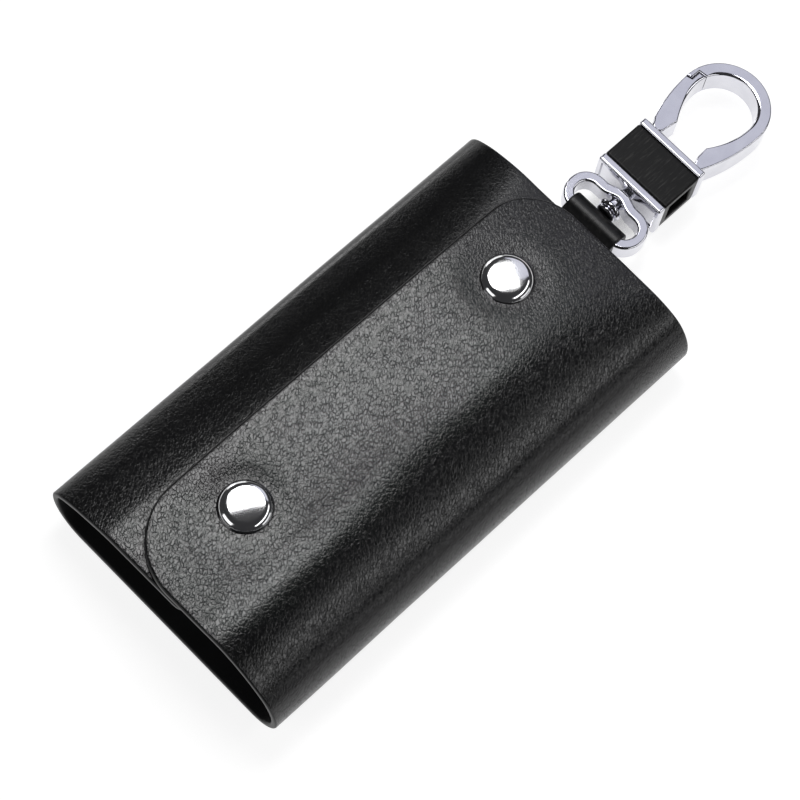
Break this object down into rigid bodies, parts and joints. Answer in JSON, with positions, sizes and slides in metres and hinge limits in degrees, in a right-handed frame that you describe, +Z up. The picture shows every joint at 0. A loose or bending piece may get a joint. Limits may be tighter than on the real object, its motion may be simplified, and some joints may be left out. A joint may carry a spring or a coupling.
{
  "type": "key case",
  "caption": "Wrap-around leather key case with a snap-down flap, an inner key row and a swivel clasp with a spring gate.",
  "frame": {"origin": "middle of the back panel's underside", "axes": "+X along the case towards the clasp, +Z up through the snaps"},
  "size_m": [0.1636, 0.06, 0.0202],
  "materials": {
    "leather": "black pebble grain, semi-gloss",
    "snap_metal": "polished",
    "clasp_chrome": "polished plating",
    "spring_steel": "satin",
    "rail_steel": "plated"
  },
  "bodies": {
    "case": {"back_panel": "leather", "leather_tab": "leather", "tab_rivets": "rail_steel", "rail_patch": "leather", "key_rail": "rail_steel", "rail_rivets": "rail_steel", "hook_rod": "rail_steel"},
    "flap_fold_1": {"flap_fold_1": "leather"},
    "flap_fold_2": {"flap_fold_2": "leather"},
    "flap": {"flap": "leather", "snap_caps": "snap_metal", "snap_sockets": "snap_metal"},
    "panel_fold_1": {"panel_fold_1": "leather"},
    "panel_fold_2": {"panel_fold_2": "leather"},
    "inner_panel": {"inner_panel": "leather", "snap_studs": "snap_metal", "snap_posts": "snap_metal"},
    "key_hook_1": {"key_hook_1": "rail_steel"},
    "key_gate_1": {"key_gate_1": "spring_steel"},
    "key_hook_2": {"key_hook_2": "rail_steel"},
    "key_gate_2": {"key_gate_2": "spring_steel"},
    "key_hook_3": {"key_hook_3": "rail_steel"},
    "key_gate_3": {"key_gate_3": "spring_steel"},
    "key_hook_4": {"key_hook_4": "rail_steel"},
    "key_gate_4": {"key_gate_4": "spring_steel"},
    "key_hook_5": {"key_hook_5": "rail_steel"},
    "key_gate_5": {"key_gate_5": "spring_steel"},
    "key_hook_6": {"key_hook_6": "rail_steel"},
    "key_gate_6": {"key_gate_6": "spring_steel"},
    "swivel_loop": {"swivel_loop": "clasp_chrome"},
    "clasp": {"clasp_frame": "clasp_chrome", "swivel_pin": "clasp_chrome", "leather_wrap": "leather", "gate_pin": "clasp_chrome"},
    "gate": {"clasp_gate": "clasp_chrome", "gate_spring": "spring_steel"}
  },
  "joints": [
    {"name": "flap_open", "type": "hinge", "parent": "case", "child": "flap_fold_1", "pos_m": [0, -0.024, 0], "axis": [1, 0, 0], "range_deg": [0, 50.67]},
    {"name": "flap_bend_1", "type": "hinge", "parent": "flap_fold_1", "child": "flap_fold_2", "pos_m": [0, -0.02982, 0.00455], "axis": [1, 0, 0], "range_deg": [0, 50.67]},
    {"name": "flap_bend_2", "type": "hinge", "parent": "flap_fold_2", "child": "flap", "pos_m": [0, -0.02496, 0.01439], "axis": [1, 0, 0], "range_deg": [0, 50.67]},
    {"name": "panel_bend_1", "type": "hinge", "parent": "case", "child": "panel_fold_1", "pos_m": [0, 0.022, 0], "axis": [-1, 0, 0], "range_deg": [0, 25.33]},
    {"name": "panel_bend_2", "type": "hinge", "parent": "panel_fold_1", "child": "panel_fold_2", "pos_m": [0, 0.02965, 0.00566], "axis": [-1, 0, 0], "range_deg": [0, 25.33]},
    {"name": "panel_bend_3", "type": "hinge", "parent": "panel_fold_2", "child": "inner_panel", "pos_m": [0, 0.02758, 0.01256], "axis": [-1, 0, 0], "range_deg": [0, 25.33]},
    {"name": "key_hook_1_lift", "type": "hinge", "parent": "case", "child": "key_hook_1", "pos_m": [0.0374, -0.016, 0.005], "axis": [0, 1, 0], "range_deg": [0, 25]},
    {"name": "key_gate_1_press", "type": "hinge", "parent": "key_hook_1", "child": "key_gate_1", "pos_m": [0.02988, -0.015, 0.00392], "axis": [-0.1425, 0, 0.9898], "range_deg": [0, 10], "stiffness_Nm_per_rad": 0.01, "springref_deg": -2.86},
    {"name": "key_hook_2_lift", "type": "hinge", "parent": "case", "child": "key_hook_2", "pos_m": [0.0374, -0.0096, 0.005], "axis": [0, 1, 0], "range_deg": [0, 25]},
    {"name": "key_gate_2_press", "type": "hinge", "parent": "key_hook_2", "child": "key_gate_2", "pos_m": [0.02988, -0.0086, 0.00392], "axis": [-0.1425, 0, 0.9898], "range_deg": [0, 10], "stiffness_Nm_per_rad": 0.01, "springref_deg": -2.86},
    {"name": "key_hook_3_lift", "type": "hinge", "parent": "case", "child": "key_hook_3", "pos_m": [0.0374, -0.0032, 0.005], "axis": [0, 1, 0], "range_deg": [0, 25]},
    {"name": "key_gate_3_press", "type": "hinge", "parent": "key_hook_3", "child": "key_gate_3", "pos_m": [0.02988, -0.0022, 0.00392], "axis": [-0.1425, 0, 0.9898], "range_deg": [0, 10], "stiffness_Nm_per_rad": 0.01, "springref_deg": -2.86},
    {"name": "key_hook_4_lift", "type": "hinge", "parent": "case", "child": "key_hook_4", "pos_m": [0.0374, 0.0032, 0.005], "axis": [0, 1, 0], "range_deg": [0, 25]},
    {"name": "key_gate_4_press", "type": "hinge", "parent": "key_hook_4", "child": "key_gate_4", "pos_m": [0.02988, 0.00419, 0.00392], "axis": [-0.1425, 0, 0.9898], "range_deg": [0, 10], "stiffness_Nm_per_rad": 0.01, "springref_deg": -2.86},
    {"name": "key_hook_5_lift", "type": "hinge", "parent": "case", "child": "key_hook_5", "pos_m": [0.0374, 0.0096, 0.005], "axis": [0, 1, 0], "range_deg": [0, 25]},
    {"name": "key_gate_5_press", "type": "hinge", "parent": "key_hook_5", "child": "key_gate_5", "pos_m": [0.02988, 0.0106, 0.00392], "axis": [-0.1425, 0, 0.9898], "range_deg": [0, 10], "stiffness_Nm_per_rad": 0.01, "springref_deg": -2.86},
    {"name": "key_hook_6_lift", "type": "hinge", "parent": "case", "child": "key_hook_6", "pos_m": [0.0374, 0.016, 0.005], "axis": [0, 1, 0], "range_deg": [0, 25]},
    {"name": "key_gate_6_press", "type": "hinge", "parent": "key_hook_6", "child": "key_gate_6", "pos_m": [0.02988, 0.01699, 0.00392], "axis": [-0.1425, 0, 0.9898], "range_deg": [0, 10], "stiffness_Nm_per_rad": 0.01, "springref_deg": -2.86},
    {"name": "loop_swing", "type": "hinge", "parent": "case", "child": "swivel_loop", "pos_m": [0.0618, 0.0018, 0.0048], "axis": [0, -1, 0], "range_deg": [-80, 80]},
    {"name": "clasp_swivel", "type": "hinge", "parent": "swivel_loop", "child": "clasp", "pos_m": [0.071, 0.0018, 0.0048], "axis": [1, 0, 0], "continuous": true},
    {"name": "gate_press", "type": "hinge", "parent": "clasp", "child": "gate", "pos_m": [0.0861, 0.0074, 0.0048], "axis": [0, 0, -1], "range_deg": [0, 26], "stiffness_Nm_per_rad": 0.02, "springref_deg": -5.73}
  ],
  "couplings": [
    {"joint": "flap_bend_1", "follows": "flap_open", "ratio": 1},
    {"joint": "flap_bend_2", "follows": "flap_open", "ratio": 1},
    {"joint": "panel_bend_1", "follows": "flap_open", "ratio": 0.5},
    {"joint": "panel_bend_2", "follows": "flap_open", "ratio": 0.5},
    {"joint": "panel_bend_3", "follows": "flap_open", "ratio": 0.5}
  ]
}
